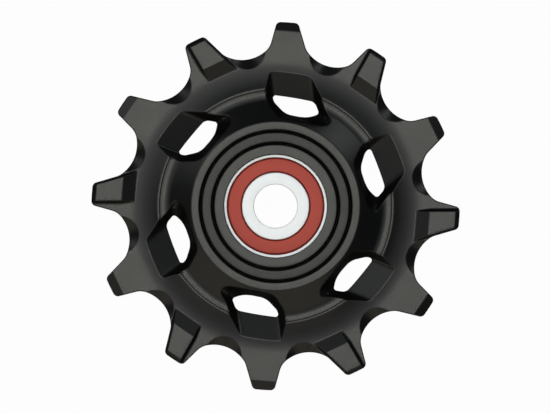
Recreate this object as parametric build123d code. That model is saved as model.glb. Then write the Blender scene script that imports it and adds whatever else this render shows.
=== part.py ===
from build123d import *
import os
from math import cos, pi, radians, sin, sqrt, tan

# Derailleur jockey wheel: a moulded toothed wheel pressed on a sealed ball bearing.
# Frame: origin at the centre of the bore on the wheel's mid-plane, +Z along the spin axis towards the
# front face, +Y through a narrow tooth. Lengths are in millimetres and angles in degrees.
# A tooth is drawn with its axis on +X, halfway between its two gullets, and then turned to its place.

# Chain and tooth outline. Narrow and wide teeth take turns, to fit the chain's inner and outer links.
TOOTH_PAIRS = 6
FIRST_TOOTH_ANGLE = 90.0
CHAIN_PITCH = 12.7
ROLLER_DIAMETER = 7.75
ROLLER_CLEARANCE = 0.07
TIP_ABOVE_PITCH = 0.875
GULLET_EASE = 1.155
STEEP_FLANK_LEAN = 11.1
STEEP_FLANK_CLEARANCE = 0.495
SLOPED_FLANK_LEAN = 20.8
SLOPED_FLANK_CLEARANCE = 0.995
FLANK_BLEND = 2.5
TIP_ROUND = 0.7

# Tooth thickness, with a bevel towards the tip on both faces of a narrow tooth.
NARROW_TOOTH_THICKNESS = 1.95
WIDE_TOOTH_THICKNESS = 3.4
TIP_THICKNESS = 0.9
TIP_BEVEL = 1.2

# Pads that thicken both faces of a wide tooth, measured along the tooth from its tip inwards.
PAD_TIP_BEVEL = 0.54
PAD_TIP_THICKNESS = 2.4
PAD_TOP_LENGTH = 3.62
PAD_RAMP_LENGTH = 1.9
PAD_STEEP_MARGIN = 0.7
PAD_STEEP_LEAN = 6.5
PAD_FLANK_MARGIN = 0.15
PAD_WALL_DRAFT = 15.0

# Dished relief in the root of each gullet, on both faces, which lets dirt out from under the chain.
RELIEF_BELOW_ROOT = 1.3
RELIEF_RADIUS = 2.57
RELIEF_SLOPE = 26.0
RELIEF_SIDES = 10

# Rim: a cove rises inwards from the tooth faces, over a knee, to a crest with a shallow valley inside it.
TOOTH_FACE_BELOW_ROOT = 1.4
KNEE_BELOW_ROOT = 2.8
KNEE_THICKNESS = 2.5
CREST_BELOW_ROOT = 4.27
CREST_THICKNESS = 3.4
CREST_WALL_WIDTH = 0.4
VALLEY_DEPTH = 0.25
VALLEY_WIDTH = 0.99

# Hub round the bearing, with two ring grooves in its front face.
HUB_WALL = 4.1
HUB_WIDTH = 6.4
OUTER_LAND_WIDTH = 1.02
MIDDLE_LAND_WIDTH = 1.24
HUB_GROOVE_WIDTH = 0.45
HUB_GROOVE_DEPTH = 0.6
FRONT_LIP_COVER = 0.42
SEAT_LEAD_IN = 0.35

# Windows, one behind each narrow tooth. The two halves of the mould meet at the throat, on the mid-plane.
# Each corner of the throat starts a flat side: (distance from the hub's side, distance from the tooth axis,
# both as shares of the throat's height, and the draft of that side).
WINDOW_ABOVE_HUB = 0.82
WINDOW_BELOW_ROOT = 5.4
WINDOW_RAMP = 71.5
WINDOW_CORNERS = [
    (1.0, 0.56, 33.0), (0.75, 0.56, 22.0), (0.13, -0.12, 13.0), (0.0, -1.19, 33.0), (0.15, -1.86, 33.0),
    (0.82, -1.53, WINDOW_RAMP),
]

# Sealed ball bearing. Its balls and raceways are hidden, so they are drawn light, with flat sides.
BEARING_BORE = 6.0
BEARING_DIAMETER = 15.0
BEARING_WIDTH = 5.0
RING_CHAMFER = 0.2
BALL_COUNT = 8
BALL_DIAMETER = 2.381
BALL_SIDES = 10
BALL_CLEARANCE = 0.03
RACEWAY_SIDES = 8
RACEWAY_DEPTH = 0.58
SEAL_SEAT_WIDTH = 0.87
SEAL_SEAT_DEPTH = 0.85
SEAL_BELOW_FACE = 0.18
SEAL_LIP_CLEARANCE = 0.06
CAGE_CLEARANCE = 0.1
CAGE_POCKET_CLEARANCE = 0.05
CAGE_PRONG_HEIGHT = 0.65

# Radii and heights that follow from the sizes above.
TEETH = 2 * TOOTH_PAIRS
TOOTH_ANGLE = 360 / TEETH
PITCH_RADIUS = CHAIN_PITCH / (2 * sin(pi / TEETH))
ROOT_RADIUS = PITCH_RADIUS - ROLLER_DIAMETER / 2 - ROLLER_CLEARANCE
GULLET_RADIUS = ROLLER_DIAMETER / 2 + GULLET_EASE
STEEP_FLANK_OFFSET = (CHAIN_PITCH - ROLLER_DIAMETER) / 2 - STEEP_FLANK_CLEARANCE
SLOPED_FLANK_OFFSET = (CHAIN_PITCH - ROLLER_DIAMETER) / 2 - SLOPED_FLANK_CLEARANCE
TIP_RADIUS = PITCH_RADIUS + TIP_ABOVE_PITCH
TOOTH_FACE_RADIUS = ROOT_RADIUS - TOOTH_FACE_BELOW_ROOT
CREST_RADIUS = ROOT_RADIUS - CREST_BELOW_ROOT
HUB_RADIUS = BEARING_DIAMETER / 2 + HUB_WALL
NARROW_FACE = NARROW_TOOTH_THICKNESS / 2
WIDE_FACE = WIDE_TOOTH_THICKNESS / 2
HUB_FACE = HUB_WIDTH / 2
RING_FACE = BEARING_WIDTH / 2
BALL_CIRCLE_RADIUS = (BEARING_BORE + BEARING_DIAMETER) / 4
INNER_LAND_RADIUS = BALL_CIRCLE_RADIUS - BALL_DIAMETER / 2 + RACEWAY_DEPTH
OUTER_LAND_RADIUS = BALL_CIRCLE_RADIUS + BALL_DIAMETER / 2 - RACEWAY_DEPTH
SEAL_SEAT_RADIUS = OUTER_LAND_RADIUS + SEAL_SEAT_WIDTH
SEAL_SEAT_FLOOR = RING_FACE - SEAL_SEAT_DEPTH
TOOTH_ANGLES = [FIRST_TOOTH_ANGLE + TOOTH_ANGLE * tooth for tooth in range(TEETH)]
NARROW_TOOTH_ANGLES = TOOTH_ANGLES[::2]
WIDE_TOOTH_ANGLES = TOOTH_ANGLES[1::2]
GULLET_ANGLES = [angle + TOOTH_ANGLE / 2 for angle in TOOTH_ANGLES]
BALL_ANGLES = [FIRST_TOOTH_ANGLE + 360 / BALL_COUNT * ball for ball in range(BALL_COUNT)]


def at_angle(shape, angle):
    """The shape, turned about the wheel's axis."""
    return Rot(0, 0, angle) * shape


def on_both_faces(front):
    """A front feature and its mirror image on the back."""
    return [front, mirror(front, about=Plane.XY)]


def revolved(outline):
    """A closed outline of (radius, height) edges, turned round the wheel's axis."""
    section = make_face(outline)
    return revolve(Plane.XZ * section, axis=Axis.Z)


def corner_ring(corner, sides):
    """A corner and its like all round the Z axis, which make a level polygon."""
    return [corner.rotate(Axis.Z, 360 / sides * side) for side in range(sides)]


def flat_sided(rings):
    """A solid with flat sides between stacked rings of corners, as many corners in each ring."""
    faces = [Face(Wire.make_polygon(rings[0])), Face(Wire.make_polygon(rings[-1]))]
    for lower, upper in zip(rings, rings[1:]):
        for corner in range(len(lower)):
            side = [lower[corner - 1], lower[corner], upper[corner], upper[corner - 1]]
            faces.append(Face(Wire.make_polygon(side)))
    return Solid(Shell(faces))


def line_meets_circle(point, direction, centre, radius, side):
    """Where a line crosses a circle: side is +1 for the crossing further along the line, or -1."""
    offset = point - centre
    along = offset.dot(direction)
    reach = sqrt(along ** 2 - offset.dot(offset) + radius ** 2)
    return point + direction * (side * reach - along)


def tooth_outline():
    """Flat outline of all the teeth: steep and sloped straight flanks that run into round gullets."""
    half_angle = TOOTH_ANGLE / 2
    steep_point = Vector(PITCH_RADIUS, STEEP_FLANK_OFFSET)
    steep_out = Vector(cos(radians(STEEP_FLANK_LEAN)), -sin(radians(STEEP_FLANK_LEAN)))
    sloped_point = Vector(PITCH_RADIUS, -SLOPED_FLANK_OFFSET)
    sloped_out = Vector(cos(radians(SLOPED_FLANK_LEAN)), sin(radians(SLOPED_FLANK_LEAN)))
    gullet_centre = Vector(ROOT_RADIUS + GULLET_RADIUS, 0)
    root = Vector(ROOT_RADIUS, 0)
    middle = Vector(0, 0)
    steep_foot = line_meets_circle(
        steep_point, steep_out, gullet_centre.rotate(Axis.Z, half_angle), GULLET_RADIUS, -1)
    sloped_foot = line_meets_circle(
        sloped_point, sloped_out, gullet_centre.rotate(Axis.Z, -half_angle), GULLET_RADIUS, -1)
    steep_tip = line_meets_circle(steep_point, steep_out, middle, TIP_RADIUS, 1)
    sloped_tip = line_meets_circle(sloped_point, sloped_out, middle, TIP_RADIUS, 1)
    one_tooth = [
        ThreePointArc(steep_foot.rotate(Axis.Z, -TOOTH_ANGLE), root.rotate(Axis.Z, -half_angle), sloped_foot),
        Line(sloped_foot, sloped_tip),
        ThreePointArc(sloped_tip, Vector(TIP_RADIUS, 0), steep_tip),
        Line(steep_tip, steep_foot),
    ]
    edges = [at_angle(edge, TOOTH_ANGLE * tooth) for tooth in range(TEETH) for edge in one_tooth]
    outline = make_face(edges)
    tips = [vertex for vertex in outline.vertices() if Vector(vertex).length > PITCH_RADIUS]
    outline = fillet(tips, TIP_ROUND)
    feet = [
        vertex for vertex in outline.vertices()
        if abs(Vector(vertex).length - steep_foot.length) < TIP_ROUND / 10
        or abs(Vector(vertex).length - sloped_foot.length) < TIP_ROUND / 10
    ]
    return at_angle(fillet(feet, FLANK_BLEND), FIRST_TOOTH_ANGLE)


def wheel_section():
    """Front half of the wheel's section, from the bearing's lip out past the tooth tips."""
    lip_radius = BEARING_DIAMETER / 2 - FRONT_LIP_COVER
    outside = TIP_RADIUS + TIP_BEVEL
    crest_face = CREST_THICKNESS / 2
    valley_face = crest_face - VALLEY_DEPTH
    valley_outer = CREST_RADIUS - CREST_WALL_WIDTH
    return Polyline(
        (lip_radius, 0), (outside, 0), (outside, NARROW_FACE), (TOOTH_FACE_RADIUS, NARROW_FACE),
        (ROOT_RADIUS - KNEE_BELOW_ROOT, KNEE_THICKNESS / 2), (CREST_RADIUS, crest_face),
        (valley_outer, valley_face), (valley_outer - VALLEY_WIDTH, valley_face), (HUB_RADIUS, HUB_FACE),
        (lip_radius, HUB_FACE), close=True).edges()


def tooth_pad():
    """Front pad of a wide tooth on +X: drafted sides, a ramp towards the hub and a bevel at the tip."""
    foot = TIP_RADIUS - PAD_TIP_BEVEL - PAD_TOP_LENGTH - PAD_RAMP_LENGTH
    spread = NARROW_FACE * tan(radians(PAD_WALL_DRAFT))
    steep_lean = tan(radians(PAD_STEEP_LEAN))
    sloped_lean = tan(radians(SLOPED_FLANK_LEAN))
    sloped_margin = (PAD_FLANK_MARGIN - spread) / cos(radians(SLOPED_FLANK_LEAN))
    inner = foot - PAD_RAMP_LENGTH
    outer = TIP_RADIUS + PAD_RAMP_LENGTH

    def steep_side(along):
        return (along, STEEP_FLANK_OFFSET - PAD_STEEP_MARGIN + spread + (along - PITCH_RADIUS) * steep_lean)

    def sloped_side(along):
        return (along, sloped_margin - SLOPED_FLANK_OFFSET + (along - PITCH_RADIUS) * sloped_lean)

    plan = make_face(Polyline(
        sloped_side(inner), sloped_side(outer), steep_side(outer), steep_side(inner), close=True))
    block = extrude(plan, WIDE_FACE, taper=PAD_WALL_DRAFT)
    side_view = make_face(Polyline(
        (foot, 0), (foot, NARROW_FACE), (foot + PAD_RAMP_LENGTH, WIDE_FACE),
        (TIP_RADIUS - PAD_TIP_BEVEL, WIDE_FACE), (TIP_RADIUS, PAD_TIP_THICKNESS / 2), (TIP_RADIUS, 0),
        close=True))
    return block & extrude(Plane.XZ * side_view, TIP_RADIUS, both=True)


def gullet_relief():
    """Cutter for the dished relief in the root of a gullet on +X, on the front face, with flat sides."""
    floor_radius = RELIEF_RADIUS / 4
    depth = (RELIEF_RADIUS - floor_radius) * tan(radians(RELIEF_SLOPE))
    half_side = tan(pi / RELIEF_SIDES)
    levels = [(floor_radius, NARROW_FACE - depth), (RELIEF_RADIUS, NARROW_FACE), (RELIEF_RADIUS, WIDE_FACE)]
    corners = [Vector(reach, reach * half_side, height) for reach, height in levels]
    dish = flat_sided([corner_ring(corner, RELIEF_SIDES) for corner in corners])
    return Pos(ROOT_RADIUS - RELIEF_BELOW_ROOT + RELIEF_RADIUS, 0, 0) * dish


def tip_bevel():
    """Cutter for the bevel at the tip of a narrow tooth on +X, on the front face."""
    tip_face = TIP_THICKNESS / 2
    slope = (NARROW_FACE - tip_face) / TIP_BEVEL
    wedge = make_face(Polyline(
        (TIP_RADIUS - TIP_BEVEL, NARROW_FACE), (TIP_RADIUS + TIP_BEVEL, tip_face - slope * TIP_BEVEL),
        (TIP_RADIUS + TIP_BEVEL, NARROW_FACE), close=True))
    return extrude(Plane.XZ * wedge, CHAIN_PITCH / 4, both=True)


def window():
    """Cutter for the front half of a window behind a narrow tooth on +X, with flat drafted sides."""
    inner = HUB_RADIUS + WINDOW_ABOVE_HUB
    height = ROOT_RADIUS - WINDOW_BELOW_ROOT - inner
    throat = [Vector(inner + height * up, height * across) for up, across, _ in WINDOW_CORNERS]
    spreads = [HUB_FACE * tan(radians(draft)) for _, _, draft in WINDOW_CORNERS]
    outwards = []
    for corner, point in enumerate(throat):
        along = throat[(corner + 1) % len(throat)] - point
        outwards.append(Vector(along.Y, -along.X).normalized())
    mouth = []
    for corner, point in enumerate(throat):
        before, after = outwards[corner - 1], outwards[corner]
        spread_before, spread_after = spreads[corner - 1], spreads[corner]
        turn = before.X * after.Y - before.Y * after.X
        move_x = (spread_before * after.Y - spread_after * before.Y) / turn
        move_y = (spread_after * before.X - spread_before * after.X) / turn
        mouth.append(point + Vector(move_x, move_y, HUB_FACE))
    return flat_sided([throat, mouth])


def pulley_body():
    """The moulded wheel: teeth, pads, reliefs, windows, ring grooves and the bearing's seat."""
    outline = extrude(tooth_outline(), HUB_FACE, both=True)
    front = revolved(wheel_section())
    bevels = [at_angle(cut, angle) for cut in on_both_faces(tip_bevel()) for angle in NARROW_TOOTH_ANGLES]
    pads = [at_angle(pad, angle) for pad in on_both_faces(tooth_pad()) for angle in WIDE_TOOTH_ANGLES]
    reliefs = [at_angle(cut, angle) for cut in on_both_faces(gullet_relief()) for angle in GULLET_ANGLES]
    windows = [at_angle(cut, angle) for cut in on_both_faces(window()) for angle in NARROW_TOOTH_ANGLES]
    toothed = ((front + mirror(front, about=Plane.XY)) & outline) - bevels
    toothed += [pad & outline for pad in pads]
    return toothed - reliefs - windows - hub_grooves() - bearing_seat()


def hub_grooves():
    """Cutters for the two V-shaped ring grooves in the front face of the hub."""
    outer_groove = HUB_RADIUS - OUTER_LAND_WIDTH
    inner_groove = outer_groove - HUB_GROOVE_WIDTH - MIDDLE_LAND_WIDTH
    cutters = []
    for radius in (outer_groove, inner_groove):
        cutters.append(revolved(Polyline(
            (radius, HUB_FACE), (radius - HUB_GROOVE_WIDTH, HUB_FACE),
            (radius - HUB_GROOVE_WIDTH / 2, HUB_FACE - HUB_GROOVE_DEPTH), close=True).edges()))
    return cutters


def bearing_seat():
    """Cutter for the bearing's seat, open to the back with a lead-in and closed by the front lip."""
    seat = BEARING_DIAMETER / 2
    return revolved(Polyline(
        (0, RING_FACE), (seat, RING_FACE), (seat, SEAT_LEAD_IN - HUB_FACE), (seat + SEAT_LEAD_IN, -HUB_FACE),
        (0, -HUB_FACE), close=True).edges())


def raceway():
    """Cutter for the grooves that the balls run in, with flat sides that touch round the balls."""
    ball_room = BALL_DIAMETER / 2 + BALL_CLEARANCE
    section = RegularPolygon(ball_room, RACEWAY_SIDES, major_radius=False, rotation=180 / RACEWAY_SIDES)
    return revolve(Plane.XZ * Pos(BALL_CIRCLE_RADIUS, 0) * section, axis=Axis.Z)


def inner_ring():
    """Inner race, with the bore for the bolt."""
    bore = BEARING_BORE / 2
    ring = revolved(Polyline(
        (bore, RING_CHAMFER - RING_FACE), (bore + RING_CHAMFER, -RING_FACE), (INNER_LAND_RADIUS, -RING_FACE),
        (INNER_LAND_RADIUS, RING_FACE), (bore + RING_CHAMFER, RING_FACE), (bore, RING_FACE - RING_CHAMFER),
        close=True).edges())
    return ring - raceway()


def outer_ring():
    """Outer race, with a step in each side for the seals."""
    rim = BEARING_DIAMETER / 2
    ring = revolved(Polyline(
        (OUTER_LAND_RADIUS, -SEAL_SEAT_FLOOR), (SEAL_SEAT_RADIUS, -SEAL_SEAT_FLOOR),
        (SEAL_SEAT_RADIUS, -RING_FACE), (rim, -RING_FACE), (rim, RING_FACE), (SEAL_SEAT_RADIUS, RING_FACE),
        (SEAL_SEAT_RADIUS, SEAL_SEAT_FLOOR), (OUTER_LAND_RADIUS, SEAL_SEAT_FLOOR), close=True).edges())
    return ring - raceway()


def front_seal():
    """Moulded rubber seal, pressed in the outer race with its lip just clear of the inner race."""
    face = RING_FACE - SEAL_BELOW_FACE
    ring = Circle(SEAL_SEAT_RADIUS) - Circle(INNER_LAND_RADIUS + SEAL_LIP_CLEARANCE)
    return Pos(0, 0, SEAL_SEAT_FLOOR) * extrude(ring, face - SEAL_SEAT_FLOOR)


def ball(angle):
    """One ball in its place between the races, with flat sides whose corners lie on the ball."""
    levels = BALL_SIDES // 2
    rings = []
    for level in range(levels):
        tilt = pi * (level + 0.5) / levels
        corner = Vector(sin(tilt), 0, -cos(tilt)) * (BALL_DIAMETER / 2)
        rings.append(corner_ring(corner, BALL_SIDES))
    return at_angle(Pos(BALL_CIRCLE_RADIUS, 0, 0) * flat_sided(rings), angle)


def ball_cage():
    """One-piece crown cage: a ring behind the balls with a slot for each of them, open to the front."""
    back = CAGE_CLEARANCE - SEAL_SEAT_FLOOR
    ring = Circle(OUTER_LAND_RADIUS - CAGE_CLEARANCE) - Circle(INNER_LAND_RADIUS + CAGE_CLEARANCE)
    crown = Pos(0, 0, back) * extrude(ring, CAGE_PRONG_HEIGHT - back)
    slot_width = BALL_DIAMETER + 2 * CAGE_POCKET_CLEARANCE
    slot = Pos(BALL_CIRCLE_RADIUS, 0, 0) * Box(2 * BALL_DIAMETER, slot_width, slot_width)
    return crown - [at_angle(slot, angle) for angle in BALL_ANGLES]


pieces = {
    "pulley_body": pulley_body(),
    "outer_ring": outer_ring(),
    "inner_ring": inner_ring(),
    "ball_cage": ball_cage(),
    "front_seal": front_seal(),
    "rear_seal": mirror(front_seal(), about=Plane.XY),
}
for number, angle in enumerate(BALL_ANGLES, start=1):
    pieces[f"ball_{number}"] = ball(angle)

os.makedirs("parts", exist_ok=True)
for name, piece in pieces.items():
    export_step(piece, f"parts/{name}.step")
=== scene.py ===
from math import asin, atan2, ceil, cos, hypot, pi, radians, sin, sqrt, tan

import bpy
import numpy as np
from mathutils.geometry import delaunay_2d_cdt
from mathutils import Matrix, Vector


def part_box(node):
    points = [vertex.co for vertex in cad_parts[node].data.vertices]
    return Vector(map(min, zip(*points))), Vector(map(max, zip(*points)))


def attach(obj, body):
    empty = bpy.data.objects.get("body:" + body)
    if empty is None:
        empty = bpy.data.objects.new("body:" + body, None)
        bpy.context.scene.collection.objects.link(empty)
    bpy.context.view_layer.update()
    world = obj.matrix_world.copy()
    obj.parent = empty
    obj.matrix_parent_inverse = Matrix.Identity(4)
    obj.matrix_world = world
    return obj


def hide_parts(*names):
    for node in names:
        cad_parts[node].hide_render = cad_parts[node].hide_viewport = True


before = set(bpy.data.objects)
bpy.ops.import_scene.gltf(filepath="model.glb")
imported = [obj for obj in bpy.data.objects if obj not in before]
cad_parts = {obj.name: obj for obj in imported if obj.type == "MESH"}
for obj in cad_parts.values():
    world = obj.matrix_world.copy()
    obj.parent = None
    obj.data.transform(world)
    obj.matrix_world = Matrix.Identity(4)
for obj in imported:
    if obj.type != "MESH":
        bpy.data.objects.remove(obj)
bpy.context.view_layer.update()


# Pulley body: the toothed wheel, one injection moulding in black glass-filled nylon. Narrow and wide teeth
# alternate, a window stands behind each narrow one, and the bearing is pressed into the hub from the back.
# One sixth is drawn as a front and a back skin over one plan, and Geometry Nodes turns that sixth round.

# Lengths of the pieces are in millimetres, which MM turns into metres, and angles are in degrees.
MM = 0.001
tooth_pairs = 6
chain_pitch = 12.7
roller_diameter = 7.75
roller_clearance = 0.07
gullet_ease = 1.155
hub_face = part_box("pulley_body")[1].z / MM
tip_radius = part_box("pulley_body")[1].y / MM
pitch_radius = chain_pitch / (2 * sin(pi / (2 * tooth_pairs)))
root_radius = pitch_radius - roller_diameter / 2 - roller_clearance
gullet_radius = roller_diameter / 2 + gullet_ease
flank_blend = 2.5
tip_round = 0.7
steep_flank_offset = 1.98
steep_flank_lean = 11.1
sloped_flank_offset = 1.48
sloped_flank_lean = 20.8

tooth_face = 0.975
tip_face = 0.45
tip_bevel_length = 1.2
pad_face = 1.7
pad_tip_face = 1.2
pad_ramp_foot = 19.35
pad_ramp_top = 21.25
pad_top_end = 24.87
pad_steep_corners = [(pad_ramp_foot, 0.75), (pad_ramp_top, 1.18), (tip_radius, 1.53)]
pad_flank_margin = 0.05
pad_wall_draft = 15.0
pad_foot_round = 0.32
relief_below_root = 1.3
relief_radius = 2.57
relief_centre = root_radius - relief_below_root + relief_radius
relief_slope = 26.0

cove_foot = 20.2
crest_radius = 16.32
crest_width = 0.28
crest_inner = crest_radius - crest_width
crest_face = 1.7
valley_outer = 16.03
valley_middle = 15.65
valley_inner = 15.4
valley_face = 1.45
valley_round = 1.9
hub_radius = 11.64
groove_radii = (10.355, 8.69)
groove_width = 0.38
groove_depth = 0.6

# Each side of a window's throat starts at a corner: (share of the throat's height up from the hub, share
# of it away from the tooth's axis, draft of that side).
window_inner = 12.42
window_height = 2.79
window_middle = 0.55 - 0.65j
window_round = 0.45
window_sides = [
    (1.007, 0.56, 33.0), (0.75, 0.56, 22.0), (0.13, -0.12, 13.0), (0.0, -1.19, 35.0), (0.07, -1.47, 40.0),
    (0.25, -1.8, 33.0), (0.82, -1.53, 71.5), (1.0, -0.45, 71.5),
]

narrow_angle = 90.0
tooth_angle = 180 / tooth_pairs
wide_angle = narrow_angle - tooth_angle
sector_start = wide_angle - tooth_angle / 2
sector_middle = sector_start + tooth_angle
sector_end = sector_middle + tooth_angle
gullet_angles = (sector_start, sector_middle, sector_end)

edge_round = 0.12
edge_softness = 0.1
crest_softness = 0.01
crest_softness_reach = (0.1, 0.25)
soft_rows = edge_softness * np.array([-1.4, -0.7, 0.0, 0.7, 1.4])


def turned(places, degrees):
    """Places in the plan, as complex numbers, turned about the wheel's axis."""
    return places * np.exp(1j * np.radians(degrees))


def line_meets_circle(point, direction, centre, radius, side):
    """Where a line crosses a circle: side is +1 for the crossing further along the line, or -1."""
    offset = point - centre
    along = (offset * np.conj(direction)).real
    reach = sqrt(along ** 2 - abs(offset) ** 2 + radius ** 2)
    return point + direction * (side * reach - along)


def arc(centre, start, end, step=0.3):
    """Places along the shorter arc about a centre, without its end."""
    spoke = start - centre
    sweep = np.angle((end - centre) / spoke)
    count = ceil(abs(sweep * spoke) / step) + 1
    return centre + spoke * np.exp(1j * sweep * np.arange(count) / count)


def straight(start, end, step=0.3):
    """Places along a straight line, without its end."""
    count = ceil(abs(end - start) / step)
    return start + (end - start) * np.arange(count) / count


def tooth_side(offset, lean, side):
    """One side of a tooth on +X from its gullet's root to its tip: gullet, blend, flank and tip round."""
    point = complex(pitch_radius, side * offset)
    outwards = np.exp(-1j * side * radians(lean))
    to_air = 1j * side * outwards
    towards_gullet = np.exp(1j * side * pi / (2 * tooth_pairs))
    root = root_radius * towards_gullet
    gullet_centre = (root_radius + gullet_radius) * towards_gullet
    blend_centre = line_meets_circle(
        point + flank_blend * to_air, outwards, gullet_centre, gullet_radius - flank_blend, -1)
    round_centre = line_meets_circle(point - tip_round * to_air, outwards, 0, tip_radius - tip_round, 1)
    reach = blend_centre - gullet_centre
    blend_start = gullet_centre + gullet_radius * reach / abs(reach)
    blend_end = blend_centre - flank_blend * to_air
    round_start = round_centre + tip_round * to_air
    round_end = tip_radius * round_centre / abs(round_centre)
    return np.concatenate([
        arc(gullet_centre, root, blend_start), arc(blend_centre, blend_start, blend_end),
        straight(blend_end, round_start), arc(round_centre, round_start, round_end, step=0.1), [round_end]])


def sector_outline():
    """Outline of a wide and a narrow tooth, counter-clockwise between the roots of two gullets."""
    sloped = tooth_side(sloped_flank_offset, sloped_flank_lean, -1)
    steep = tooth_side(steep_flank_offset, steep_flank_lean, 1)[::-1]
    tooth = np.concatenate([sloped[:-1], arc(0, sloped[-1], steep[0]), steep])
    return np.concatenate([turned(tooth[:-1], wide_angle), turned(tooth, narrow_angle)])


def rim_height(places):
    """Height of the turned form under the teeth: hub, cone, rounded valley, crest, cove and tooth face."""
    radius = abs(places)
    rise = valley_face + valley_round - hub_face
    reach = valley_inner - hub_radius
    cone_tilt = asin(valley_round / hypot(reach, rise)) - atan2(rise, reach)
    cone = hub_face - np.clip(radius - hub_radius, 0, None) * tan(cone_tilt)
    round_width = valley_round * sin(cone_tilt)
    into_round = np.clip(valley_inner - radius, 0, round_width)
    rounded = valley_face + valley_round - np.sqrt(valley_round ** 2 - into_round ** 2)
    heights = np.where(radius > valley_inner - round_width, rounded, cone)
    past_middle = np.clip(radius - valley_middle, 0, valley_outer - valley_middle)
    heights = heights + valley_round - np.sqrt(valley_round ** 2 - past_middle ** 2)
    wall_foot = valley_face + valley_round - sqrt(valley_round ** 2 - (valley_outer - valley_middle) ** 2)
    wall = np.interp(radius, [valley_outer, crest_inner], [wall_foot, crest_face])
    heights = np.where(radius > valley_outer, wall, heights)
    cove_width = cove_foot - crest_radius
    cove_rise = crest_face - tooth_face
    cove_radius = (cove_width ** 2 + cove_rise ** 2) / (2 * cove_rise)
    into_cove = np.clip(cove_foot - radius, 0, cove_width)
    cove = tooth_face + cove_radius - np.sqrt(cove_radius ** 2 - into_cove ** 2)
    return np.where(radius > crest_radius, cove, heights)


def pad_steep_side(along):
    """Offset of the foot of a pad's steep wall from the tooth's axis, at places along that axis."""
    return np.interp(along, *zip(*pad_steep_corners))


def pad_sloped_side(along, margin):
    """Offset of a line along a pad's sloped wall from the tooth's axis, a margin in from the flank."""
    lean = radians(sloped_flank_lean)
    return (along - pitch_radius) * tan(lean) - sloped_flank_offset + margin / cos(lean)


def pad_height(places):
    """Height of the pad of a wide tooth on +X: a flat top, a ramp, a bevel and two drafted walls."""
    along = places.real
    across = places.imag
    ramp_slope = (pad_face - tooth_face) / (pad_ramp_top - pad_ramp_foot)
    run_under = 1.0
    ramp = np.interp(
        along, [pad_ramp_foot - run_under, pad_ramp_top, pad_top_end, tip_radius],
        [tooth_face - run_under * ramp_slope, pad_face, pad_face, pad_tip_face])
    steepness = 1 / tan(radians(pad_wall_draft))
    past_foot = across - pad_steep_side(along)
    steep_wall = tooth_face - past_foot * steepness
    wall_tilt = radians(90 - pad_wall_draft)
    round_reach = pad_foot_round * tan(wall_tilt / 2)
    into_round = np.clip(round_reach - past_foot, 0, pad_foot_round * sin(wall_tilt))
    foot_round = tooth_face + pad_foot_round - np.sqrt(pad_foot_round ** 2 - into_round ** 2)
    steep_wall = np.where(past_foot < round_reach, np.maximum(steep_wall, foot_round), steep_wall)
    past_margin = across - pad_sloped_side(along, pad_flank_margin)
    sloped_wall = tooth_face + past_margin * cos(radians(sloped_flank_lean)) * steepness
    return np.minimum(ramp, np.minimum(steep_wall, sloped_wall))


def relief_height(places):
    """Height of the dished relief in the root of a gullet on +X."""
    inside = relief_radius - abs(places - relief_centre)
    dish = tooth_face - inside * tan(radians(relief_slope))
    return np.where(inside > 0, dish, hub_face)


def window_wall_height(places):
    """Height of the drafted walls of the window behind the narrow tooth, below 0 inside its throat."""
    on_axis = turned(places, -narrow_angle)
    throat = [window_inner + window_height * complex(up, across) for up, across, _ in window_sides]
    outside = []
    spreads = []
    for number, (_, _, draft) in enumerate(window_sides):
        along = throat[(number + 1) % len(throat)] - throat[number]
        outwards = along / abs(along) / 1j
        outside.append(((on_axis - throat[number]) * np.conj(outwards)).real)
        spreads.append(tan(radians(draft)))
    outside = np.array(outside)
    spreads = np.array(spreads).reshape(-1, *[1] * np.ndim(places))
    low = np.full(np.shape(places), -hub_face)
    high = np.full(np.shape(places), 2 * hub_face)
    halvings = 24
    for _ in range(halvings):
        middle = (low + high) / 2
        past = np.clip(outside - middle * spreads + window_round, 0, None)
        in_window = np.sqrt((past ** 2).sum(axis=0)) < window_round
        high = np.where(in_window, middle, high)
        low = np.where(in_window, low, middle)
    return (low + high) / 2


def skin_height(places):
    """Height of the wheel's face over the plan, before its edges are softened."""
    narrow = turned(places, -narrow_angle)
    wide = turned(places, -wide_angle)
    bevel_slope = (tooth_face - tip_face) / tip_bevel_length
    tip_bevel = tip_face + (tip_radius - narrow.real) * bevel_slope
    near_tip = narrow.real > pitch_radius - tip_bevel_length
    heights = np.minimum(rim_height(places), np.where(near_tip, tip_bevel, hub_face))
    heights = np.maximum(heights, pad_height(wide))
    for angle in gullet_angles:
        heights = np.minimum(heights, relief_height(turned(places, -angle)))
    return np.minimum(heights, window_wall_height(places))


def groove_fall(places):
    """Depth of the two ring grooves in the front of the hub."""
    fall = np.zeros(np.shape(places))
    for groove in groove_radii:
        share = 1 - abs(abs(places) - groove) / (groove_width / 2)
        fall = np.maximum(fall, groove_depth * share)
    return fall


def softened(field, places):
    """Mean of a height field over a small disc, which rounds its edges, those of the crest's wall less."""
    disc_rings = (0.5, 1.0)
    disc_corners = 12
    around = np.exp(2j * pi * np.arange(disc_corners) / disc_corners)
    spots = [0] + [share * spoke for share in disc_rings for spoke in around]
    from_wall = abs(abs(places) - valley_outer)
    reach = np.interp(from_wall, crest_softness_reach, [crest_softness, edge_softness])
    total = np.zeros(len(places))
    for spot in spots:
        total += field(places + reach * spot)
    return total / len(spots)


def distance_to(line, places):
    """Distance from each place to a line of straight pieces."""
    nearest = np.full(len(places), np.inf)
    for start, end in zip(line, line[1:]):
        along = np.clip(((places - start) * np.conj(end - start)).real / abs(end - start) ** 2, 0, 1)
        nearest = np.minimum(nearest, abs(places - start - along * (end - start)))
    return nearest


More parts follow.
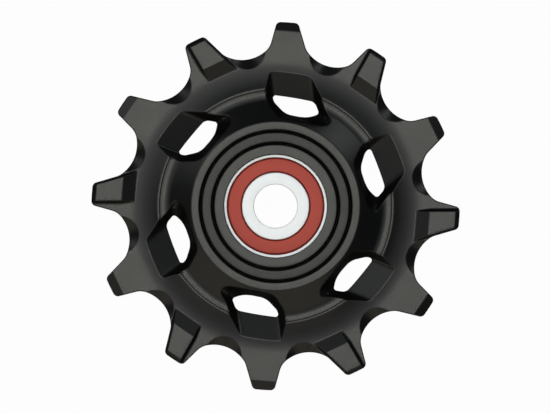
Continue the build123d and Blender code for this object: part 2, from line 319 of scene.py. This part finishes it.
def crossing(spokes, centre, field, reach=12.0, halvings=30):
    """Places along spokes from a centre where a field that starts below 0 rises through it."""
    near = np.zeros(len(spokes))
    far = np.full(len(spokes), reach)
    for _ in range(halvings):
        middle = (near + far) / 2
        below = field(centre + middle * spokes) < 0
        near = np.where(below, middle, near)
        far = np.where(below, far, middle)
    return centre + near * spokes


# The skins' corners lie on lines of the plan that follow each feature, with rows beside it for soft edges.
ring_corners = 41
seat_edge = 8.1
sector_spokes = np.exp(1j * np.radians(np.linspace(sector_start, sector_end, ring_corners)))


def edge_lines(outline):
    """The outline of the teeth, and rows inside it for the round of its edge."""
    row_shares = (0.0, 0.13, 0.5, 1.0, 1.5)
    inwards = 1j * np.gradient(outline)
    inwards[0] = -outline[0]
    inwards[-1] = -outline[-1]
    inwards /= abs(inwards)
    return [outline + edge_round * share * inwards for share in row_shares]


def ring_lines():
    """Rings of the hub, its grooves and the rim, broken where a window stands."""
    groove_tip = 0.012
    sharp = [hub_radius, valley_outer, crest_inner, crest_radius]
    for groove in groove_radii:
        sharp += [groove - groove_width / 2, groove + groove_width / 2]
    radii = [np.add(radius, soft_rows) for radius in sharp]
    radii += [np.add(groove, (-groove_tip, 0.0, groove_tip)) for groove in groove_radii]
    crest_rows = np.array([valley_outer - 2 * crest_softness, crest_inner + 2 * crest_softness])
    cone_rows = np.linspace(hub_radius + 0.4, 14.2, 6)
    valley_rows = np.linspace(14.4, 15.5, 7)
    cove_rows = np.linspace(16.7, 20.4, 10)
    radii += [crest_rows, cone_rows, valley_rows, cove_rows]
    lines = []
    for radius in np.unique(np.round(np.concatenate(radii), 3)):
        ring = radius * sector_spokes
        solid = window_wall_height(ring) > rim_height(ring)
        for run in np.split(np.arange(len(ring)), np.flatnonzero(np.diff(solid)) + 1):
            if solid[run[0]]:
                lines.append(ring[run])
    return lines


def window_lines():
    """The throat and the mouth of a window, with rows on the walls between them."""
    corners = 120
    throat_row = 0.05
    wall_shares = (0.15, 0.35, 0.55, 0.75, 0.9)
    middle = turned(window_inner + window_height * window_middle, narrow_angle)
    around = np.exp(2j * pi * np.arange(corners + 1) / corners)
    throat = crossing(around, middle, window_wall_height)
    mouth = crossing(around, middle, lambda places: window_wall_height(places) - rim_height(places))
    lines = [throat, throat + throat_row * around]
    lines += [throat + share * (mouth - throat) for share in wall_shares]
    return lines + [mouth + row * around for row in soft_rows]


def relief_lines():
    """The edge of each gullet's relief and rows inside it, with half a relief at each end of the sector."""
    half_sweep = 84
    middle = 21
    inner_rows = (-0.35, -0.75, -1.1)
    dish = -np.exp(1j * np.radians(np.linspace(-half_sweep, half_sweep, 2 * middle + 1)))
    parts = (slice(None, middle + 1), slice(None), slice(middle, None))
    lines = []
    for angle, part in zip(gullet_angles, parts):
        for row in (*soft_rows, *inner_rows):
            lines.append(turned(relief_centre + (relief_radius + row) * dish[part], angle))
    return lines


def tooth_lines():
    """Edges of the narrow tooth's bevel and the wide tooth's pad, with rows at the foot of its steep wall."""
    bevel_across = np.linspace(-2.4, 2.4, 17)
    pad_across = np.linspace(-3.3, 1.6, 17)
    pad_along = np.linspace(pad_ramp_foot - 0.3, tip_radius + 0.3, 25)
    foot_rows = (0.2, 0.26, 0.32)
    lines = []
    for row in soft_rows:
        bevel = tip_radius - tip_bevel_length + row
        lines.append(turned(bevel + 1j * bevel_across, narrow_angle))
        for corner in (pad_ramp_foot, pad_ramp_top, pad_top_end):
            lines.append(turned(corner + row + 1j * pad_across, wide_angle))
        for rise in (0.0, pad_face - tooth_face):
            drawn_in = rise * tan(radians(pad_wall_draft)) + row
            steep = pad_steep_side(pad_along) - drawn_in
            sloped = pad_sloped_side(pad_along, pad_flank_margin + drawn_in)
            lines.append(turned(pad_along + 1j * steep, wide_angle))
            lines.append(turned(pad_along + 1j * sloped, wide_angle))
    for row in foot_rows:
        steep = pad_steep_side(pad_along) + row
        lines.append(turned(pad_along + 1j * steep, wide_angle))
    return lines


def even_fill(drawn):
    """Corners of an even triangular grid over the sector, clear of its cuts and of corners drawn already."""
    grid_step = 0.4
    grid_reach = 30
    half_span = 29.3
    seat_room = 0.2
    line_room = 0.45 * grid_step
    steps = np.arange(-grid_reach, grid_reach, grid_step)
    shift = (np.arange(len(steps)) % 2) * grid_step / 2
    grid = (steps[:, None] + 1j * steps[None, :] * sqrt(3) / 2 + shift).ravel()
    from_middle = np.degrees(np.angle(turned(grid, -sector_middle)))
    inside = (abs(from_middle) < half_span) & (abs(grid) > seat_edge + seat_room) & (abs(grid) < tip_radius)
    grid = grid[inside]
    room = np.array([abs(drawn - place).min() for place in grid])
    return grid[room > line_room]


def triangulated(lines, fill):
    """Corners and triangles between the lines and the fill, found in steps along the sector's two cuts."""
    decimals = 6
    snap = 1e-4
    links = []
    count = 0
    for line in lines:
        links += [(count + step, count + step + 1) for step in range(len(line) - 1)]
        count += len(line)
    points = np.concatenate([*lines, fill])
    cuts = turned(np.ones(2), np.array([sector_start, sector_end]))
    from_cuts = (points[:, None] * np.conj(cuts[::-1])).imag / (cuts * np.conj(cuts[::-1])).imag
    found = delaunay_2d_cdt(np.round(from_cuts, decimals).tolist(), links, [], 0, snap)
    return np.array(found[0]) @ cuts, np.array(found[2])


def inside_wheel(centres, outline):
    """Which triangles, by their centres, lie in the sector's material."""
    bearing = np.degrees(np.angle(centres))
    outline_radius = np.interp(bearing, np.degrees(np.angle(outline)), abs(outline))
    half_step = (sector_end - sector_start) / (ring_corners - 1) / 2
    inside = (bearing > sector_start) & (bearing < sector_end)
    inside &= (abs(centres) < outline_radius) & (abs(centres) > seat_edge * cos(radians(half_step)))
    return inside & (window_wall_height(centres) > 0)


outline = sector_outline()
lines = [*edge_lines(outline), *ring_lines(), *window_lines(), *relief_lines(), *tooth_lines()]
lines.append(seat_edge * sector_spokes)
plan, triangles = triangulated(lines, even_fill(np.concatenate(lines)))
triangles = triangles[inside_wheel(plan[triangles].mean(axis=1), outline)]
corners = plan[triangles]
backwards = ((corners[:, 1] - corners[:, 0]) * np.conj(corners[:, 2] - corners[:, 0])).imag > 0
triangles[backwards] = triangles[backwards][:, ::-1]


def rim_edges(triangles):
    """Edges that belong to one triangle only, each with its triangle on the left."""
    edges = np.concatenate([triangles[:, [0, 1]], triangles[:, [1, 2]], triangles[:, [2, 0]]])
    keys = set(map(tuple, edges))
    return np.array([edge for edge in edges if (edge[1], edge[0]) not in keys])


corner_rows = []


def add_row(places, heights):
    """Adds a row of corners, one for each corner of the plan, and gives their numbers."""
    first = len(corner_rows) * len(plan)
    corner_rows.append(np.column_stack([places.real, places.imag, heights]))
    return first + np.arange(len(plan))


def wall_between(loop, rows):
    """Quads between the rows of corners that go down from an edge loop of the front skin to the back."""
    return np.concatenate([
        np.stack([upper[loop[:, 1]], upper[loop[:, 0]], lower[loop[:, 0]], lower[loop[:, 1]]], axis=1)
        for upper, lower in zip(rows, rows[1:])])


throat_tolerance = 0.002
edge_tolerance = 0.01
to_edge = np.clip(edge_round - distance_to(outline, plan), 0, None)
edge_fall = edge_round - np.sqrt(edge_round ** 2 - to_edge ** 2)
throat_corner = abs(window_wall_height(plan)) < throat_tolerance
face = np.where(throat_corner, 0, softened(skin_height, plan) - edge_fall)
near_groove = np.min([abs(abs(plan) - groove) for groove in groove_radii], axis=0) < groove_width / 4
front = face - np.where(near_groove, groove_fall(plan), softened(groove_fall, plan))
edges = rim_edges(triangles)
ends = plan[edges]
end_bearing = np.degrees(np.angle(ends))
on_throat = throat_corner[edges].all(axis=1)
on_seat = (abs(ends) < seat_edge + edge_tolerance).all(axis=1)
on_cut = (abs(end_bearing - sector_start) < edge_tolerance).all(axis=1)
on_cut |= (abs(end_bearing - sector_end) < edge_tolerance).all(axis=1)

front_row = add_row(plan, front)
back_row = add_row(plan, -face)
tooth_wall_shares = (0.08, 0.92)
tooth_rows = [add_row(plan, front - share * (front + face)) for share in tooth_wall_shares]

ring_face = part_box("outer_ring")[1].z / MM
seat_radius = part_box("outer_ring")[1].x / MM
lip_cover = 0.42
lip_radius = seat_radius - lip_cover
lip_row = 0.2
lip_round = 0.05
lip_round_middle = 0.015
lead_in = 0.35
seat_section = [
    (lip_radius + lip_row, hub_face), (lip_radius + lip_round, hub_face),
    (lip_radius + lip_round_middle, hub_face - lip_round_middle), (lip_radius, hub_face - lip_round),
    (lip_radius, ring_face), (seat_radius, ring_face), (seat_radius, lead_in - hub_face),
    (seat_radius + lead_in, -hub_face),
]
directions = plan / np.maximum(abs(plan), 1)
seat_rows = [add_row(radius * directions, np.full(len(plan), height)) for radius, height in seat_section]

faces = triangles.tolist() + (triangles + len(plan))[:, ::-1].tolist()
faces += wall_between(edges[~(on_throat | on_seat | on_cut)], [front_row, *tooth_rows, back_row]).tolist()
faces += wall_between(edges[on_seat], [front_row, *seat_rows, back_row]).tolist()
used, faces_used = np.unique(np.concatenate(faces), return_inverse=True)
starts = np.cumsum([0] + [len(sides) for sides in faces])
faces = [faces_used[start:end].tolist() for start, end in zip(starts, starts[1:])]
sector = bpy.data.meshes.new("pulley_sector")
sector.from_pydata((np.concatenate(corner_rows)[used] * MM).tolist(), [], faces)


def add_node(tree, kind, settings=None, inputs=None):
    """A node with its settings, whose inputs are given as values or as the sockets that feed them."""
    node = tree.nodes.new(kind)
    for name, value in (settings or {}).items():
        setattr(node, name, value)
    for name, value in (inputs or {}).items():
        if isinstance(value, bpy.types.NodeSocket):
            tree.links.new(value, node.inputs[name])
        else:
            node.inputs[name].default_value = value
    return node


def mixed_colour(tree, share, dark, light):
    """The colour between a dark and a light one that a share of 0 to 1 picks."""
    share_socket, dark_socket, light_socket, colour_socket = 0, 6, 7, 2
    mix = add_node(
        tree, "ShaderNodeMix", {"data_type": "RGBA"},
        {share_socket: share, dark_socket: (*dark, 1), light_socket: (*light, 1)})
    return mix.outputs[colour_socket]


def new_tree(name, kind, inputs, outputs):
    """A node group with named sockets: its tree, its inputs' node and its outputs' node."""
    tree = bpy.data.node_groups.new(name, kind)
    for socket, socket_type in inputs.items():
        tree.interface.new_socket(socket, in_out="INPUT", socket_type=socket_type)
    for socket, socket_type in outputs.items():
        tree.interface.new_socket(socket, in_out="OUTPUT", socket_type=socket_type)
    return tree, tree.nodes.new("NodeGroupInput"), tree.nodes.new("NodeGroupOutput")


def made_by_nodes(name, start, tree, values):
    """A plain mesh object that a geometry tree makes from a starting mesh, with its inputs set by name."""
    piece = bpy.data.objects.new(name, start)
    bpy.context.scene.collection.objects.link(piece)
    modifier = piece.modifiers.new("Making", "NODES")
    modifier.node_group = tree
    for socket in tree.interface.items_tree:
        if socket.in_out == "INPUT" and socket.name in values:
            modifier[socket.identifier] = values[socket.name]
    shaped = piece.evaluated_get(bpy.context.evaluated_depsgraph_get())
    mesh = bpy.data.meshes.new_from_object(shaped)
    piece.modifiers.remove(modifier)
    piece.data = mesh
    return piece


grain_tree, grain_in, grain_out = new_tree(
    "Moulded grain", "ShaderNodeTree",
    {"Grain Size": "NodeSocketFloat", "Mottle Size": "NodeSocketFloat"},
    {"Height": "NodeSocketFloat", "Mottle": "NodeSocketFloat"})
place = add_node(grain_tree, "ShaderNodeTexCoord").outputs["Object"]
grain_scale = add_node(
    grain_tree, "ShaderNodeMath", {"operation": "DIVIDE"}, {0: 1.0, 1: grain_in.outputs["Grain Size"]})
mottle_scale = add_node(
    grain_tree, "ShaderNodeMath", {"operation": "DIVIDE"}, {0: 1.0, 1: grain_in.outputs["Mottle Size"]})
grain = add_node(
    grain_tree, "ShaderNodeTexNoise", {}, {"Vector": place, "Scale": grain_scale.outputs[0], "Detail": 3.0})
mottle = add_node(
    grain_tree, "ShaderNodeTexNoise", {}, {"Vector": place, "Scale": mottle_scale.outputs[0], "Detail": 2.0})
grain_tree.links.new(grain.outputs["Fac"], grain_out.inputs["Height"])
grain_tree.links.new(mottle.outputs["Fac"], grain_out.inputs["Mottle"])


def moulded(name, dark, light, smooth, rough, specular, grain_size, grain_height):
    """A moulded finish: its colour and roughness vary with the mottle, and its grain stands up as bump."""
    mottle_grains = 20
    material = bpy.data.materials.new(name)
    material.use_nodes = True
    tree = material.node_tree
    shader = tree.nodes["Principled BSDF"]
    shader.inputs["Specular IOR Level"].default_value = specular
    grain = add_node(
        tree, "ShaderNodeGroup", {"node_tree": grain_tree},
        {"Grain Size": grain_size, "Mottle Size": mottle_grains * grain_size})
    gloss = add_node(
        tree, "ShaderNodeMapRange", {},
        {"Value": grain.outputs["Mottle"], "To Min": smooth, "To Max": rough})
    bump = add_node(
        tree, "ShaderNodeBump", {},
        {"Height": grain.outputs["Height"], "Distance": grain_height, "Strength": 1.0})
    tree.links.new(mixed_colour(tree, grain.outputs["Mottle"], dark, light), shader.inputs["Base Color"])
    tree.links.new(gloss.outputs["Result"], shader.inputs["Roughness"])
    tree.links.new(bump.outputs["Normal"], shader.inputs["Normal"])
    return material


black_nylon = moulded(
    "Black glass-filled nylon", dark=(0.002, 0.002, 0.0018), light=(0.003, 0.003, 0.0026),
    smooth=0.3, rough=0.34, specular=0.25, grain_size=0.12 * MM, grain_height=0.001 * MM)

# The ring between the two grooves is a little rougher than the rest of the moulding.
rougher_by = 0.05
ring_middle = sum(groove_radii) / 2 * MM
ring_half_width = (groove_radii[0] - groove_radii[1]) / 2 * MM
tree = black_nylon.node_tree
place = add_node(tree, "ShaderNodeTexCoord").outputs["Object"]
flat = add_node(tree, "ShaderNodeVectorMath", {"operation": "MULTIPLY"}, {0: place, 1: (1, 1, 0)})
radius = add_node(tree, "ShaderNodeVectorMath", {"operation": "LENGTH"}, {0: flat.outputs[0]})
middle_ring = add_node(
    tree, "ShaderNodeMath", {"operation": "COMPARE"},
    {0: radius.outputs["Value"], 1: ring_middle, 2: ring_half_width})
roughness = tree.nodes["Principled BSDF"].inputs["Roughness"]
rougher = add_node(
    tree, "ShaderNodeMath", {"operation": "MULTIPLY_ADD"},
    {0: middle_ring.outputs[0], 1: rougher_by, 2: roughness.links[0].from_socket})
tree.links.new(rougher.outputs[0], roughness)

wheel_tree, wheel_in, wheel_out = new_tree(
    "Wheel from one sixth", "GeometryNodeTree",
    {"Sixth": "NodeSocketGeometry", "Tooth Pairs": "NodeSocketInt", "Weld Distance": "NodeSocketFloat",
     "Finish": "NodeSocketMaterial"},
    {"Wheel": "NodeSocketGeometry"})
pairs = wheel_in.outputs["Tooth Pairs"]
spots = add_node(wheel_tree, "GeometryNodePoints", {}, {"Count": pairs})
step = add_node(wheel_tree, "ShaderNodeMath", {"operation": "DIVIDE"}, {0: 2 * pi, 1: pairs})
spot_number = add_node(wheel_tree, "GeometryNodeInputIndex")
spot_angle = add_node(
    wheel_tree, "ShaderNodeMath", {"operation": "MULTIPLY"}, {0: step.outputs[0], 1: spot_number.outputs[0]})
spot_turn = add_node(wheel_tree, "ShaderNodeCombineXYZ", {}, {"Z": spot_angle.outputs[0]})
sixths = add_node(
    wheel_tree, "GeometryNodeInstanceOnPoints", {},
    {"Points": spots.outputs[0], "Instance": wheel_in.outputs["Sixth"], "Rotation": spot_turn.outputs[0]})
real = add_node(wheel_tree, "GeometryNodeRealizeInstances", {}, {"Geometry": sixths.outputs[0]})
welded = add_node(
    wheel_tree, "GeometryNodeMergeByDistance", {},
    {"Geometry": real.outputs[0], "Distance": wheel_in.outputs["Weld Distance"]})
smooth = add_node(wheel_tree, "GeometryNodeSetShadeSmooth", {}, {"Geometry": welded.outputs[0]})
finished = add_node(
    wheel_tree, "GeometryNodeSetMaterial", {},
    {"Geometry": smooth.outputs[0], "Material": wheel_in.outputs["Finish"]})
wheel_tree.links.new(finished.outputs[0], wheel_out.inputs["Wheel"])

weld_distance = 0.002 * MM
pulley = made_by_nodes(
    "pulley", sector, wheel_tree,
    {"Tooth Pairs": tooth_pairs, "Weld Distance": weld_distance, "Finish": black_nylon})
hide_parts("pulley_body")
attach(pulley, "wheel")


# Bearing rings: the outer race, pressed into the hub, and the inner race with the bore for the bolt. Both are
# bearing steel, hardened and ground, with small rounds at their edges and fine marks that run round them.
def turned_ring(name, section, material, steps=192, sharp_angle=25):
    """A ring turned from a closed section of (radius, height) corners, in millimetres."""
    corners = []
    faces = []
    sides = len(section)
    for step in range(steps):
        angle = 2 * pi * step / steps
        along, across = cos(angle), sin(angle)
        corners += [(radius * along * MM, radius * across * MM, height * MM) for radius, height in section]
        here = step * sides
        there = (step + 1) % steps * sides
        for side in range(sides):
            after = (side + 1) % sides
            faces.append((here + side, there + side, there + after, here + after))
    mesh = bpy.data.meshes.new(name)
    mesh.from_pydata(corners, [], faces)
    mesh.shade_smooth()
    mesh.set_sharp_from_angle(angle=radians(sharp_angle))
    mesh.materials.append(material)
    piece = bpy.data.objects.new(name, mesh)
    bpy.context.scene.collection.objects.link(piece)
    return piece


round_shares = (0.0, 0.25, 0.5, 0.75, 1.0)


def eased(section, eases):
    """A closed section, each corner cut to a small round of four flats or left sharp where its ease is 0."""
    rounded = []
    for number, (corner, ease) in enumerate(zip(section, eases)):
        if ease == 0:
            rounded.append(corner)
            continue
        before = np.subtract(section[number - 1], corner)
        after = np.subtract(section[(number + 1) % len(section)], corner)
        start = before / hypot(*before) * ease
        end = after / hypot(*after) * ease
        for share in round_shares:
            pull = start * (1 - share) ** 2 + end * share ** 2
            rounded.append(tuple(np.add(corner, pull)))
    return rounded


clouds_per_metre = 900.0
marks_tree, marks_in, marks_out = new_tree(
    "Turning marks", "ShaderNodeTree",
    {"Mark Width": "NodeSocketFloat"},
    {"Height": "NodeSocketFloat", "Shade": "NodeSocketFloat"})
place = add_node(marks_tree, "ShaderNodeTexCoord").outputs["Object"]
apart = add_node(marks_tree, "ShaderNodeSeparateXYZ", {}, {0: place})
flat = add_node(marks_tree, "ShaderNodeCombineXYZ", {}, {"X": apart.outputs["X"], "Y": apart.outputs["Y"]})
radius = add_node(marks_tree, "ShaderNodeVectorMath", {"operation": "LENGTH"}, {0: flat.outputs[0]})
mark_scale = add_node(
    marks_tree, "ShaderNodeMath", {"operation": "DIVIDE"}, {0: 1.0, 1: marks_in.outputs["Mark Width"]})
across = add_node(
    marks_tree, "ShaderNodeMath", {"operation": "ADD"}, {0: radius.outputs["Value"], 1: apart.outputs["Z"]})
marks = add_node(
    marks_tree, "ShaderNodeTexNoise", {"noise_dimensions": "1D"},
    {"W": across.outputs[0], "Scale": mark_scale.outputs[0], "Detail": 3.0})
cloud = add_node(
    marks_tree, "ShaderNodeTexNoise", {}, {"Vector": place, "Scale": clouds_per_metre, "Detail": 2.0})
marks_tree.links.new(marks.outputs["Fac"], marks_out.inputs["Height"])
marks_tree.links.new(cloud.outputs["Fac"], marks_out.inputs["Shade"])

dark_steel = (0.58, 0.595, 0.61)
light_steel = (0.63, 0.645, 0.66)
steel_smooth = 0.52
steel_rough = 0.62
mark_width = 0.04 * MM
mark_height = 0.0004 * MM
bearing_steel = bpy.data.materials.new("Ground bearing steel")
bearing_steel.use_nodes = True
tree = bearing_steel.node_tree
shader = tree.nodes["Principled BSDF"]
shader.inputs["Metallic"].default_value = 1.0
marks = add_node(tree, "ShaderNodeGroup", {"node_tree": marks_tree}, {"Mark Width": mark_width})
gloss = add_node(
    tree, "ShaderNodeMapRange", {},
    {"Value": marks.outputs["Height"], "To Min": steel_smooth, "To Max": steel_rough})
bump = add_node(
    tree, "ShaderNodeBump", {}, {"Height": marks.outputs["Height"], "Distance": mark_height, "Strength": 1.0})
steel_colour = mixed_colour(tree, marks.outputs["Shade"], dark_steel, light_steel)
tree.links.new(steel_colour, shader.inputs["Base Color"])
tree.links.new(gloss.outputs["Result"], shader.inputs["Roughness"])
tree.links.new(bump.outputs["Normal"], shader.inputs["Normal"])

bore_radius = 3.0
ball_circle = 5.25
ball_diameter = 2.381
ball_radius = ball_diameter / 2
ball_clearance = 0.03
race_depth = 0.58
race_room = ball_radius + ball_clearance
outer_land = ball_circle + ball_radius - race_depth
inner_land = ball_circle - ball_radius + race_depth
seal_seat_width = 0.87
seal_seat_depth = 0.85
seal_radius = outer_land + seal_seat_width
seal_floor = ring_face - seal_seat_depth


def raceway(side, land, corners=13):
    """The round groove that the balls run in, from its lower edge to its upper edge on a land."""
    reach = sqrt(race_room ** 2 - (land - ball_circle) ** 2)
    start = atan2(-reach, land - ball_circle)
    end = -start
    if side < 0:
        start, end = start % (2 * pi), end % (2 * pi)
    angles = np.linspace(start, end, corners)
    return [(ball_circle + race_room * cos(angle), race_room * sin(angle)) for angle in angles]


seal_edge_ease = 0.08
seat_ease = 0.2
outer_section = [
    (outer_land, seal_floor), (outer_land, -seal_floor), (seal_radius, -seal_floor),
    (seal_radius, -ring_face), (seat_radius, -ring_face), (seat_radius, ring_face), (seal_radius, ring_face),
    (seal_radius, seal_floor),
]
outer_section = eased(outer_section, [0, 0, 0, seal_edge_ease, seat_ease, seat_ease, seal_edge_ease, 0])
outer_section = [outer_section[0]] + raceway(1, outer_land)[::-1] + outer_section[1:]
outer_ring = turned_ring("bearing_outer_ring", outer_section, bearing_steel)
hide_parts("outer_ring")
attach(outer_ring, "wheel")

bore_ease = 0.1
land_ease = 0.12
inner_section = [
    (bore_radius, ring_face), (bore_radius, -ring_face), (inner_land, -ring_face), (inner_land, ring_face),
]
inner_section = eased(inner_section, [bore_ease, bore_ease, land_ease, land_ease])
below_race = 3 * len(round_shares)
inner_section = inner_section[:below_race] + raceway(-1, inner_land) + inner_section[below_race:]
inner_ring = turned_ring("bearing_inner_ring", inner_section, bearing_steel)
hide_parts("inner_ring")
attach(inner_ring, "inner_ring")


# Seals: two rings of red moulded rubber, each pressed into a step of the outer race, with a deep groove along
# both edges. Their wiper lips end a hair short of the inner race, so that the bearing turns freely.
red_rubber = moulded(
    "Red seal rubber", dark=(0.36, 0.048, 0.032), light=(0.4, 0.053, 0.036),
    smooth=0.5, rough=0.6, specular=0.25, grain_size=0.1 * MM, grain_height=0.0015 * MM)
seal_below_face = 0.18
seal_groove_depth = 0.6
rim_groove_width = 0.26
lip_groove_width = 0.22
wiper_gap = 0.006
seal_face = ring_face - seal_below_face
seal_step = seal_face - seal_groove_depth
seal_rim = seal_radius - rim_groove_width
seal_bead = inner_land + lip_groove_width
wiper = inner_land + wiper_gap
seal_foot_ease = 0.05
seal_face_ease = 0.03
for name, node, side in (("red_front_seal", "front_seal", 1), ("red_rear_seal", "rear_seal", -1)):
    section = eased(
        [(wiper, seal_floor), (seal_radius, seal_floor), (seal_radius, seal_step), (seal_rim, seal_face),
         (seal_bead, seal_face), (wiper, seal_step)],
        [0, seal_foot_ease, 0, seal_face_ease, seal_face_ease, 0])
    if side < 0:
        section = [(radius, -height) for radius, height in section][::-1]
    seal = turned_ring(name, section, red_rubber)
    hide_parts(node)
    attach(seal, "wheel")


# Cage and balls: a crown cage, moulded in one piece in natural nylon, spaces eight steel balls between the
# races. They are hidden behind the seals, and each ball turns in its own pocket.
cage_nylon = moulded(
    "Natural cage nylon", dark=(0.62, 0.56, 0.44), light=(0.7, 0.65, 0.53),
    smooth=0.4, rough=0.5, specular=0.5, grain_size=0.15 * MM, grain_height=0.002 * MM)
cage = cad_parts["ball_cage"]
cage.data.materials.clear()
cage.data.materials.append(cage_nylon)

ball_tree, ball_in, ball_out = new_tree(
    "Ball in its pocket", "GeometryNodeTree",
    {"Start": "NodeSocketGeometry", "Ball Radius": "NodeSocketFloat", "Circle Radius": "NodeSocketFloat",
     "Angle": "NodeSocketFloat", "Finish": "NodeSocketMaterial"},
    {"Ball": "NodeSocketGeometry"})
round_ball = add_node(
    ball_tree, "GeometryNodeMeshUVSphere", {},
    {"Segments": 32, "Rings": 16, "Radius": ball_in.outputs["Ball Radius"]})
out_along = add_node(ball_tree, "ShaderNodeMath", {"operation": "COSINE"}, {0: ball_in.outputs["Angle"]})
out_across = add_node(ball_tree, "ShaderNodeMath", {"operation": "SINE"}, {0: ball_in.outputs["Angle"]})
direction = add_node(
    ball_tree, "ShaderNodeCombineXYZ", {}, {"X": out_along.outputs[0], "Y": out_across.outputs[0]})
pocket = add_node(
    ball_tree, "ShaderNodeVectorMath", {"operation": "SCALE"},
    {0: direction.outputs[0], "Scale": ball_in.outputs["Circle Radius"]})
pocket_spot = add_node(ball_tree, "GeometryNodePoints", {}, {"Count": 1, "Position": pocket.outputs[0]})
placed = add_node(
    ball_tree, "GeometryNodeInstanceOnPoints", {},
    {"Points": pocket_spot.outputs[0], "Instance": round_ball.outputs[0]})
real = add_node(ball_tree, "GeometryNodeRealizeInstances", {}, {"Geometry": placed.outputs[0]})
smooth = add_node(ball_tree, "GeometryNodeSetShadeSmooth", {}, {"Geometry": real.outputs[0]})
finished = add_node(
    ball_tree, "GeometryNodeSetMaterial", {},
    {"Geometry": smooth.outputs[0], "Material": ball_in.outputs["Finish"]})
ball_tree.links.new(finished.outputs[0], ball_out.inputs["Ball"])

ball_count = 8
first_ball_angle = 90.0
for number in range(ball_count):
    ball_angle = radians(first_ball_angle + number * 360 / ball_count)
    ball = made_by_nodes(
        f"steel_ball_{number + 1}", bpy.data.meshes.new("ball"), ball_tree,
        {"Ball Radius": ball_radius * MM, "Circle Radius": ball_circle * MM, "Angle": ball_angle,
         "Finish": bearing_steel})
    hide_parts(f"ball_{number + 1}")
    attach(ball, f"ball_{number + 1}")


# Floor, light and camera: the wheel lies on its hub on a white table and is seen straight from above. A small
# key lamp hangs in front of a softbox and a wide ceiling panel, and four cards at the sides light the slopes.
# Lengths of the table, the lamps and the camera are in metres.
floor_gap = 0.02 * MM
floor_reach = 2
floor_grey = (0.05, 0.05, 0.05, 1)
floor_roughness = 0.9
white_share = 0.98
# Reflections see the table's white only farther than this from the wheel's axis. Nearer, they see its dark
# grey paint instead, which is a painted shadow round the wheel.
painted_shadow_start = 50 * MM
painted_shadow_end = 300 * MM
floor_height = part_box("pulley_body")[0].z - floor_gap
floor_mesh = bpy.data.meshes.new("floor")
floor_corners = [(-1, -1), (1, -1), (1, 1), (-1, 1)]
floor_mesh.from_pydata(
    [(x * floor_reach, y * floor_reach, floor_height) for x, y in floor_corners], [], [(0, 1, 2, 3)])
floor = bpy.data.objects.new("floor", floor_mesh)
bpy.context.scene.collection.objects.link(floor)
floor_paint = bpy.data.materials.new("White table")
floor_paint.use_nodes = True
tree = floor_paint.node_tree
shader = tree.nodes["Principled BSDF"]
shader.inputs["Base Color"].default_value = floor_grey
shader.inputs["Roughness"].default_value = floor_roughness
path = add_node(tree, "ShaderNodeLightPath")
mirrored = add_node(
    tree, "ShaderNodeMath", {"operation": "MAXIMUM"},
    {0: path.outputs["Is Glossy Ray"], 1: path.outputs["Is Transmission Ray"]})
place = add_node(tree, "ShaderNodeTexCoord").outputs["Object"]
from_wheel = add_node(tree, "ShaderNodeVectorMath", {"operation": "LENGTH"}, {0: place})
past_painted_shadow = add_node(
    tree, "ShaderNodeMapRange", {},
    {"Value": from_wheel.outputs["Value"], "From Min": painted_shadow_start, "From Max": painted_shadow_end})
mirrored_white = add_node(
    tree, "ShaderNodeMath", {"operation": "MULTIPLY"},
    {0: mirrored.outputs[0], 1: past_painted_shadow.outputs["Result"]})
seen = add_node(
    tree, "ShaderNodeMath", {"operation": "MAXIMUM"},
    {0: path.outputs["Is Camera Ray"], 1: mirrored_white.outputs[0]})
share = add_node(tree, "ShaderNodeMath", {"operation": "MULTIPLY"}, {0: seen.outputs[0], 1: white_share})
white = add_node(tree, "ShaderNodeEmission", {}, {"Color": (1, 1, 1, 1), "Strength": 1.0})
mixed = add_node(
    tree, "ShaderNodeMixShader", {}, {0: share.outputs[0], 1: shader.outputs[0], 2: white.outputs[0]})
tree.links.new(mixed.outputs[0], tree.nodes["Material Output"].inputs["Surface"])
floor_mesh.materials.append(floor_paint)


def area_lamp(name, size, radiance, colour, around, aside, distance=0.6):
    """A round soft lamp that faces the wheel, placed by its angle round the axis and its angle from it."""
    lamp = bpy.data.lights.new(name, "AREA")
    lamp.shape = "DISK"
    lamp.size = size
    lamp.energy = radiance * pi * pi * (size / 2) ** 2
    lamp.color = colour
    holder = bpy.data.objects.new(name, lamp)
    flat = turned(distance * sin(radians(aside)), around)
    holder.location = (flat.real, flat.imag, distance * cos(radians(aside)))
    holder.rotation_euler = (-holder.location).to_track_quat("-Z", "Y").to_euler()
    bpy.context.scene.collection.objects.link(holder)


warm_white = (1, 0.9, 0.7)
area_lamp("Key", size=0.084, radiance=27.5, colour=(1, 1, 0.88), around=115, aside=2)
area_lamp("Softbox", size=0.5, radiance=1.25, colour=(1, 1, 0.98), around=120, aside=8)
area_lamp("Ceiling panel", size=0.94, radiance=0.76, colour=(0.94, 0.98, 1), around=150, aside=4)
area_lamp("Left warm card", size=0.53, radiance=1.2, colour=warm_white, around=232, aside=60)
area_lamp("Right warm card", size=0.53, radiance=1.2, colour=warm_white, around=289, aside=60)
area_lamp("Right card", size=0.22, radiance=3.6, colour=(0.97, 1, 1), around=51, aside=58)
area_lamp("Left card", size=0.24, radiance=2.3, colour=(1, 1, 1), around=151, aside=48)

dim_blue = (0.03, 0.04, 0.06, 1)
world = bpy.data.worlds.new("Dim studio")
world.use_nodes = True
background = world.node_tree.nodes["Background"]
background.inputs["Color"].default_value = dim_blue
background.inputs["Strength"].default_value = 1.0
bpy.context.scene.world = world

photo_width = 550
photo_scale = 7.25
photo_turn = 4.5
photo_centre = 0.58 + 0.35j
camera_height = 0.3
camera = bpy.data.cameras.new("Camera")
camera.type = "ORTHO"
camera.ortho_scale = photo_width / photo_scale * MM
viewer = bpy.data.objects.new("Camera", camera)
aside = turned(photo_centre / photo_scale * MM, photo_turn)
viewer.location = (-aside.real, -aside.imag, camera_height)
viewer.rotation_euler = (0, 0, radians(photo_turn))
bpy.context.scene.collection.objects.link(viewer)
bpy.context.scene.camera = viewer
bpy.context.scene.view_settings.view_transform = "Standard"
